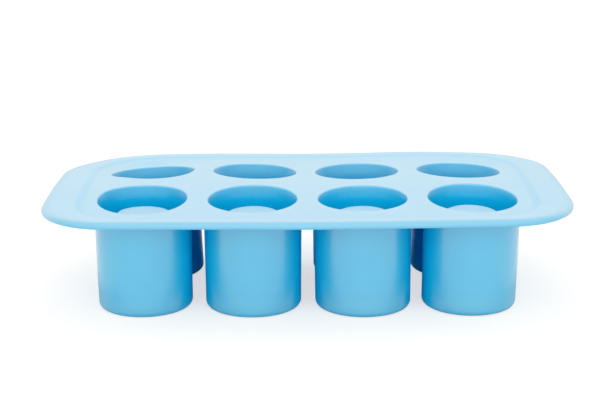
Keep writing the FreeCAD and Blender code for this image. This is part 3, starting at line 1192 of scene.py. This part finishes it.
# %% [markdown]
# ## The table
#
# The mould stands on a plain white table. If the table were really as bright as it looks, it
# would throw that light back up at the rubber. So the Light Path node gives the white only to the
# eye, and to mirrors beyond the mould's own shade, and all other light meets a plain white. The
# eye's table glows a little under a slightly warm surface, which leaves the soft shadow pale.

# %% What sees the white
SHADE_X = 0.125
SHADE_Y = 0.055
SHADE_EDGE = 0.03


def ray_kinds(start):
    """1 for camera rays, and 1 for rays that come by way of a mirror or through glass."""
    camera = start.node("ShaderNodeLightPath", out="Is Camera Ray")
    glossy, through = camera.other("Is Glossy Ray"), camera.other("Is Transmission Ray")
    return camera, start.maths("MINIMUM", glossy + through, 1.0)


def beyond_shade(start):
    """0 over the shade's rectangle and 1 from SHADE_EDGE outside it, by the larger distance."""
    place = start.node("ShaderNodeTexCoord", out="Object")
    x = start.node("ShaderNodeSeparateXYZ", inputs={"Vector": place}, out="X")
    across = start.maths("ABSOLUTE", x) - SHADE_X
    along = start.maths("ABSOLUTE", x.other("Y")) - SHADE_Y
    return start.maths("MAXIMUM", across, along).band(0.0, SHADE_EDGE)


print("half sides of the shade in metres:", SHADE_X, SHADE_Y)

# %% The table
FLOOR_HALF = 3.0
FLOOR_WHITE = (0.8, 0.8, 0.8, 1.0)
FLOOR_SEEN = (0.5, 0.46, 0.42, 1.0)
FLOOR_GLOW = 0.65


def floor_material():
    """A white table: it glows for the eye, and beyond the mould's own shade for mirrors."""
    material, start = new_material("white_table")
    camera, mirrored = ray_kinds(start)
    shown = start.maths("MINIMUM", camera + mirrored * beyond_shade(start), 1.0)
    plain = start.node("ShaderNodeBsdfDiffuse", inputs={"Color": FLOOR_WHITE})
    seen = start.node("ShaderNodeBsdfDiffuse", inputs={"Color": FLOOR_SEEN})
    glow = start.node("ShaderNodeEmission", inputs={"Color": WHITE, "Strength": FLOOR_GLOW})
    bright = start.node("ShaderNodeAddShader", inputs={0: seen, 1: glow})
    surface = start.node("ShaderNodeMixShader", inputs={0: shown, 1: plain, 2: bright})
    start.node("ShaderNodeOutputMaterial", inputs={"Surface": surface})
    return material


def make_floor():
    """A flat square under the mould."""
    mesh = bpy.data.meshes.new("white_table")
    corners = [(-1, -1, 0), (1, -1, 0), (1, 1, 0), (-1, 1, 0)]
    mesh.from_pydata((np.array(corners) * FLOOR_HALF).tolist(), [], [(0, 1, 2, 3)])
    mesh.materials.append(floor_material())
    table = bpy.data.objects.new("white_table", mesh)
    bpy.context.scene.collection.objects.link(table)


make_floor()
print("the table's half width in metres:", FLOOR_HALF)

# %% [markdown]
# ## The sky and the lamps
#
# A photographer would light this with large soft boxes in a white room. The sky is that room:
# white where it is looked at, and a little milder in the light that it gives. Two large panels
# are the soft boxes, a weak one overhead and a stronger one behind the camera. Small lamps would
# leave hard spots on the satin rubber.

# %% The sky and the lamps
SKY_LIGHT = 0.84
PANEL_TARGET = (0.0, 0.0, 0.03)
# For each panel: its place, width and height in metres, and its power in watts.
PANELS = {
    "overhead_panel": ((0.0, 0.15, 1.1), 1.2, 0.9, 1.5),
    "front_panel": ((0.0, -1.4, 0.55), 1.2, 0.7, 4.5),
}


def make_world():
    """White for rays that look at it, and milder for the light that it gives."""
    world = bpy.data.worlds.new("white_sky")
    bpy.context.scene.world = world
    world.use_nodes = True
    world.node_tree.nodes.clear()
    start = Sum(world.node_tree)
    camera, mirrored = ray_kinds(start)
    seen = start.maths("MINIMUM", camera + mirrored, 1.0)
    strength = SKY_LIGHT + seen * (1.0 - SKY_LIGHT)
    sky = start.node("ShaderNodeBackground", inputs={"Color": WHITE, "Strength": strength})
    start.node("ShaderNodeOutputWorld", inputs={"Surface": sky})


def make_panel(name, place, width, height, power):
    """A soft rectangular lamp at a place, turned to face the mould."""
    lamp = bpy.data.lights.new(name, "AREA")
    lamp.shape = "RECTANGLE"
    lamp.size = width
    lamp.size_y = height
    lamp.energy = power
    panel = bpy.data.objects.new(name, lamp)
    direction = Vector(PANEL_TARGET) - Vector(place)
    turn = direction.to_track_quat("-Z", "Y").to_matrix().to_4x4()
    panel.matrix_world = Matrix.Translation(place) @ turn
    bpy.context.scene.collection.objects.link(panel)


make_world()
for name, panel in PANELS.items():
    make_panel(name, *panel)
    print(name, "in watts:", panel[-1])

# %% [markdown]
# ## The camera
#
# The camera stands in front of the mould and looks down on it by about fourteen degrees. Its
# place and turn were fitted to the eight openings. It could be aimed at a target, but a fitted
# camera has a slight roll too, so it is built from three angles, which also stay readable.

# %% Set the camera
CAMERA_PLACE = (-0.01129, -0.73975, 0.23895)
CAMERA_PITCH = 0.252466
CAMERA_YAW = 0.010342
CAMERA_ROLL = 0.0044657
CAMERA_LENS = 84.0
CAMERA_FILM = 36.0
CAMERA_NEAR = 0.01


def make_camera():
    """A camera turned by yaw about Z, pitched down, then rolled about its own line of sight."""
    cos_yaw, sin_yaw = math.cos(CAMERA_YAW), math.sin(CAMERA_YAW)
    cos_pitch, sin_pitch = math.cos(CAMERA_PITCH), math.sin(CAMERA_PITCH)
    forward = Vector((sin_yaw * cos_pitch, cos_yaw * cos_pitch, -sin_pitch))
    right = Vector((cos_yaw, -sin_yaw, 0.0))
    down = forward.cross(right)
    rolled_right = math.cos(CAMERA_ROLL) * right + math.sin(CAMERA_ROLL) * down
    rolled_down = math.cos(CAMERA_ROLL) * down - math.sin(CAMERA_ROLL) * right
    turn = Matrix((rolled_right, -rolled_down, -forward)).transposed().to_4x4()
    data = bpy.data.cameras.new("camera")
    data.lens = CAMERA_LENS
    data.sensor_width = CAMERA_FILM
    data.clip_start = CAMERA_NEAR
    camera = bpy.data.objects.new("camera", data)
    camera.matrix_world = Matrix.Translation(CAMERA_PLACE) @ turn
    bpy.context.scene.collection.objects.link(camera)
    bpy.context.scene.camera = camera


make_camera()
bpy.context.scene.view_settings.view_transform = "Standard"
print("the camera looks down by", round(math.degrees(CAMERA_PITCH), 1), "degrees")
